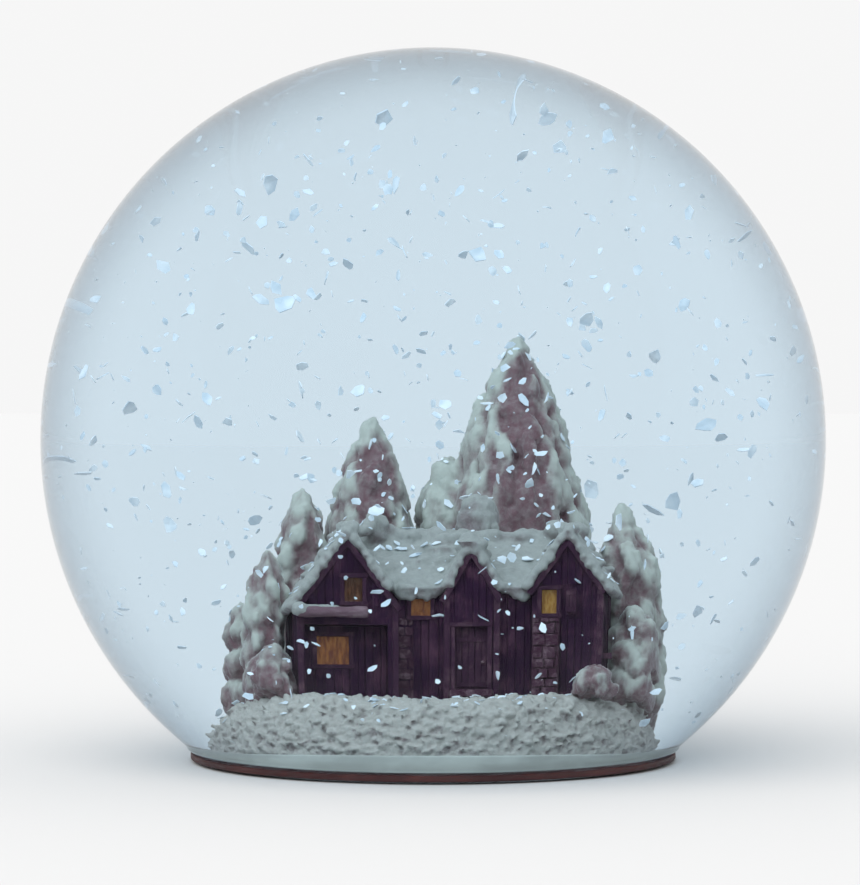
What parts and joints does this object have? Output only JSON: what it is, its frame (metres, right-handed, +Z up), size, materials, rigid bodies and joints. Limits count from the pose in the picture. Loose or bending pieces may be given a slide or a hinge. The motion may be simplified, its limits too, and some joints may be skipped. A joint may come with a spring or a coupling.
{
  "type": "snow globe",
  "caption": "Liquid-filled glass ball on a slim base, holding a snow-covered gabled cottage among fir trees, with drifting flakes.",
  "frame": {"origin": "centre of the underside, where the felt pad meets the table, on the globe's upright axis", "axes": "+Z up the globe's axis; -Y is the front, which the cottage faces; +X is to the viewer's right"},
  "size_m": [0.1, 0.1, 0.0909],
  "materials": {
    "clear_glass": "gloss",
    "clear_liquid": "gloss",
    "grey_rubber": "matte",
    "red_brown_wood": "satin",
    "dark_felt": "matte",
    "ground_snow": "matte",
    "roof_snow": "matte",
    "dark_timber": "satin",
    "amber_pane": "gloss",
    "weathered_log": "matte",
    "mauve_stone": "matte",
    "snowy_fir": "matte",
    "snow_flake": "gloss"
  },
  "bodies": {
    "globe": {"glass_globe": "clear_glass", "rubber_stopper": "grey_rubber", "base_ring": "red_brown_wood", "felt_pad": "dark_felt", "snow_mound": "ground_snow", "cottage_walls": "dark_timber", "roof_snow": "roof_snow", "chimney_stack": "mauve_stone", "chimney_snow": "roof_snow", "porch_window": "amber_pane", "loft_window": "amber_pane", "hall_window": "amber_pane", "right_window": "amber_pane", "front_door": "dark_timber", "doorstep": "weathered_log", "porch_log": "weathered_log", "stone_facing": "mauve_stone", "window_shutter": "dark_timber", "fir_tall": "snowy_fir", "fir_back_left": "snowy_fir", "fir_left": "snowy_fir", "fir_far_left": "snowy_fir", "fir_right": "snowy_fir", "shrub_left_front": "snowy_fir", "shrub_left_back": "snowy_fir", "shrub_right_front": "snowy_fir", "shrub_right_side": "snowy_fir", "shrub_right_back": "snowy_fir"},
    "liquid": {"liquid_fill": "clear_liquid"},
    "plug": {"fill_plug": "grey_rubber"}
  },
  "joints": [
    {"name": "liquid_swirl", "type": "hinge", "parent": "globe", "child": "liquid", "pos_m": [0, 0, 0.04085], "axis": [0, 0, 1], "continuous": true},
    {"name": "fill_plug_slide", "type": "slide", "parent": "globe", "child": "plug", "axis": [0, 0, -1], "range_m": [0, 0.009]}
  ]
}
